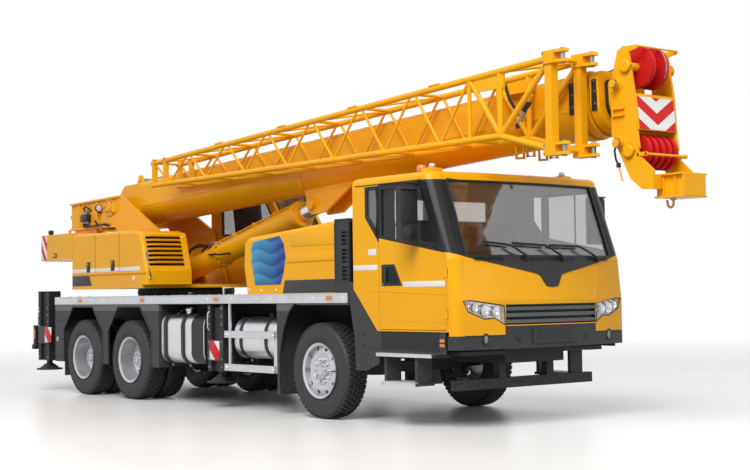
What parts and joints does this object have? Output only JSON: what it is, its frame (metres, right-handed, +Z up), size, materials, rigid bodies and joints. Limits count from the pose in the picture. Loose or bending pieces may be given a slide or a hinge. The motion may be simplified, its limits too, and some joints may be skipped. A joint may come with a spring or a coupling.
{
  "type": "mobile crane",
  "caption": "Three-axle truck crane with a driver's cab, slewing superstructure, telescopic boom, stowed lattice jib and extending outriggers.",
  "frame": {"origin": "middle of the bounding box's footprint on the ground", "axes": "+X forward, +Y to the vehicle's left, +Z up"},
  "size_m": [12.03, 3.03, 3.69],
  "materials": {
    "paint": "gloss",
    "charcoal": "satin",
    "frame": "satin",
    "silver": "satin",
    "wheel_metal": "satin",
    "rubber": "matte",
    "glass": "clear",
    "dark_plastic": "matte",
    "lamp": "clear",
    "cushion": "matte",
    "cast": "matte",
    "sheave": "satin",
    "rod": "polished",
    "deck_plate": "satin"
  },
  "bodies": {
    "carrier": {"chassis_frame": "frame", "axles": "cast", "deck": "deck_plate", "side_rails": "silver", "skirts": "charcoal", "tanks": "silver", "cab_shell": "paint", "cab_glass": "glass", "cab_nose": "paint", "bumper": "dark_plastic", "headlamps": "lamp", "cab_interior": "cushion", "engine_cover": "paint", "air_intake": "dark_plastic", "engine": "cast"},
    "knuckle_left": {"knuckle_left": "cast"},
    "wheel_front_left": {"tyre_front_left": "rubber", "rim_front_left": "wheel_metal"},
    "wheel_rear1_left": {"tyre_rear1_left": "rubber", "rim_rear1_left": "wheel_metal"},
    "wheel_rear2_left": {"tyre_rear2_left": "rubber", "rim_rear2_left": "wheel_metal"},
    "door_left": {"door_left": "paint", "door_glass_left": "glass", "mirror_left": "dark_plastic"},
    "knuckle_right": {"knuckle_right": "cast"},
    "wheel_front_right": {"tyre_front_right": "rubber", "rim_front_right": "wheel_metal"},
    "wheel_rear1_right": {"tyre_rear1_right": "rubber", "rim_rear1_right": "wheel_metal"},
    "wheel_rear2_right": {"tyre_rear2_right": "rubber", "rim_rear2_right": "wheel_metal"},
    "door_right": {"door_right": "paint", "door_glass_right": "glass", "mirror_right": "dark_plastic"},
    "superstructure": {"turntable": "paint", "machinery_cover": "paint", "counterweight": "paint", "winch": "cast", "operator_cab": "paint", "operator_glass": "glass", "operator_seat": "cushion"},
    "operator_door": {"operator_door": "paint"},
    "boom_base": {"boom_base": "paint", "fly_jib": "paint"},
    "boom_2": {"boom_section_2": "paint"},
    "boom_3": {"boom_section_3": "paint"},
    "boom_4": {"boom_section_4": "paint"},
    "top_sheaves": {"top_sheaves": "sheave"},
    "lower_sheaves": {"lower_sheaves": "sheave"},
    "lift_barrel": {"lift_barrel": "paint"},
    "lift_rod": {"lift_rod": "rod"},
    "beam_mid_left": {"beam_mid_left": "frame"},
    "jack_mid_left": {"jack_mid_left": "frame"},
    "beam_mid_right": {"beam_mid_right": "frame"},
    "jack_mid_right": {"jack_mid_right": "frame"},
    "beam_rear_left": {"beam_rear_left": "frame"},
    "jack_rear_left": {"jack_rear_left": "frame"},
    "beam_rear_right": {"beam_rear_right": "frame"},
    "jack_rear_right": {"jack_rear_right": "frame"}
  },
  "joints": [
    {"name": "steer_left", "type": "hinge", "parent": "carrier", "child": "knuckle_left", "pos_m": [1.8, 0.9, 0.53], "axis": [0, 0, 1], "range_deg": [-35, 35]},
    {"name": "roll_front_left", "type": "hinge", "parent": "knuckle_left", "child": "wheel_front_left", "pos_m": [1.8, 1.095, 0.53], "axis": [0, 1, 0], "continuous": true},
    {"name": "roll_rear1_left", "type": "hinge", "parent": "carrier", "child": "wheel_rear1_left", "pos_m": [-2.48, 0.935, 0.53], "axis": [0, 1, 0], "continuous": true},
    {"name": "roll_rear2_left", "type": "hinge", "parent": "carrier", "child": "wheel_rear2_left", "pos_m": [-3.83, 0.935, 0.53], "axis": [0, 1, 0], "continuous": true},
    {"name": "door_left_hinge", "type": "hinge", "parent": "carrier", "child": "door_left", "pos_m": [3.935, 1.25, 1.7], "axis": [0, 0, -1], "range_deg": [0, 70]},
    {"name": "steer_right", "type": "hinge", "parent": "carrier", "child": "knuckle_right", "pos_m": [1.8, -0.9, 0.53], "axis": [0, 0, 1], "range_deg": [-35, 35]},
    {"name": "roll_front_right", "type": "hinge", "parent": "knuckle_right", "child": "wheel_front_right", "pos_m": [1.8, -1.095, 0.53], "axis": [0, 1, 0], "continuous": true},
    {"name": "roll_rear1_right", "type": "hinge", "parent": "carrier", "child": "wheel_rear1_right", "pos_m": [-2.48, -0.935, 0.53], "axis": [0, 1, 0], "continuous": true},
    {"name": "roll_rear2_right", "type": "hinge", "parent": "carrier", "child": "wheel_rear2_right", "pos_m": [-3.83, -0.935, 0.53], "axis": [0, 1, 0], "continuous": true},
    {"name": "door_right_hinge", "type": "hinge", "parent": "carrier", "child": "door_right", "pos_m": [3.935, -1.25, 1.7], "axis": [0, 0, 1], "range_deg": [0, 70]},
    {"name": "slew", "type": "hinge", "parent": "carrier", "child": "superstructure", "pos_m": [-3.06, 0, 1.49], "axis": [0, 0, 1], "continuous": true},
    {"name": "operator_door_slide", "type": "slide", "parent": "superstructure", "child": "operator_door", "axis": [-1, 0, 0], "range_m": [0, 0.7]},
    {"name": "luff", "type": "hinge", "parent": "superstructure", "child": "boom_base", "pos_m": [-4.45, 0, 2.72], "axis": [0, -1, 0], "range_deg": [0, 77]},
    {"name": "extend_2", "type": "slide", "parent": "boom_base", "child": "boom_2", "axis": [0.9987, 0, 0.0506], "range_m": [0, 7.6]},
    {"name": "extend_3", "type": "slide", "parent": "boom_2", "child": "boom_3", "axis": [0.9987, 0, 0.0506], "range_m": [0, 7.6]},
    {"name": "extend_4", "type": "slide", "parent": "boom_3", "child": "boom_4", "axis": [0.9987, 0, 0.0506], "range_m": [0, 7.6]},
    {"name": "top_sheaves_turn", "type": "hinge", "parent": "boom_4", "child": "top_sheaves", "pos_m": [5.48, 0, 3.49], "axis": [0, 1, 0], "continuous": true},
    {"name": "lower_sheaves_turn", "type": "hinge", "parent": "boom_4", "child": "lower_sheaves", "pos_m": [5.5, 0, 2.68], "axis": [0, 1, 0], "continuous": true},
    {"name": "lift_barrel_swing", "type": "hinge", "parent": "superstructure", "child": "lift_barrel", "pos_m": [-3.1, 0, 1.7], "axis": [0, -1, 0], "range_deg": [0, 78]},
    {"name": "lift_rod_stroke", "type": "slide", "parent": "lift_barrel", "child": "lift_rod", "axis": [0.9723, 0, 0.2336], "range_m": [0, 2.11]},
    {"name": "beam_mid_left_slide", "type": "slide", "parent": "carrier", "child": "beam_mid_left", "axis": [0, 1, 0], "range_m": [0, 1.75]},
    {"name": "jack_mid_left_slide", "type": "slide", "parent": "beam_mid_left", "child": "jack_mid_left", "axis": [0, 0, -1], "range_m": [0, 0.6]},
    {"name": "beam_mid_right_slide", "type": "slide", "parent": "carrier", "child": "beam_mid_right", "axis": [0, -1, 0], "range_m": [0, 1.75]},
    {"name": "jack_mid_right_slide", "type": "slide", "parent": "beam_mid_right", "child": "jack_mid_right", "axis": [0, 0, -1], "range_m": [0, 0.6]},
    {"name": "beam_rear_left_slide", "type": "slide", "parent": "carrier", "child": "beam_rear_left", "axis": [0, 1, 0], "range_m": [0, 1.75]},
    {"name": "jack_rear_left_slide", "type": "slide", "parent": "beam_rear_left", "child": "jack_rear_left", "axis": [0, 0, -1], "range_m": [0, 0.6]},
    {"name": "beam_rear_right_slide", "type": "slide", "parent": "carrier", "child": "beam_rear_right", "axis": [0, -1, 0], "range_m": [0, 1.75]},
    {"name": "jack_rear_right_slide", "type": "slide", "parent": "beam_rear_right", "child": "jack_rear_right", "axis": [0, 0, -1], "range_m": [0, 0.6]}
  ],
  "couplings": [
    {"joint": "steer_right", "follows": "steer_left", "ratio": 1},
    {"joint": "extend_3", "follows": "extend_2", "ratio": 1},
    {"joint": "extend_4", "follows": "extend_2", "ratio": 1},
    {"joint": "lift_barrel_swing", "follows": "luff", "ratio": 1.0045},
    {"joint": "lift_rod_stroke", "follows": "luff", "m_per_rad": 1.5674}
  ]
}
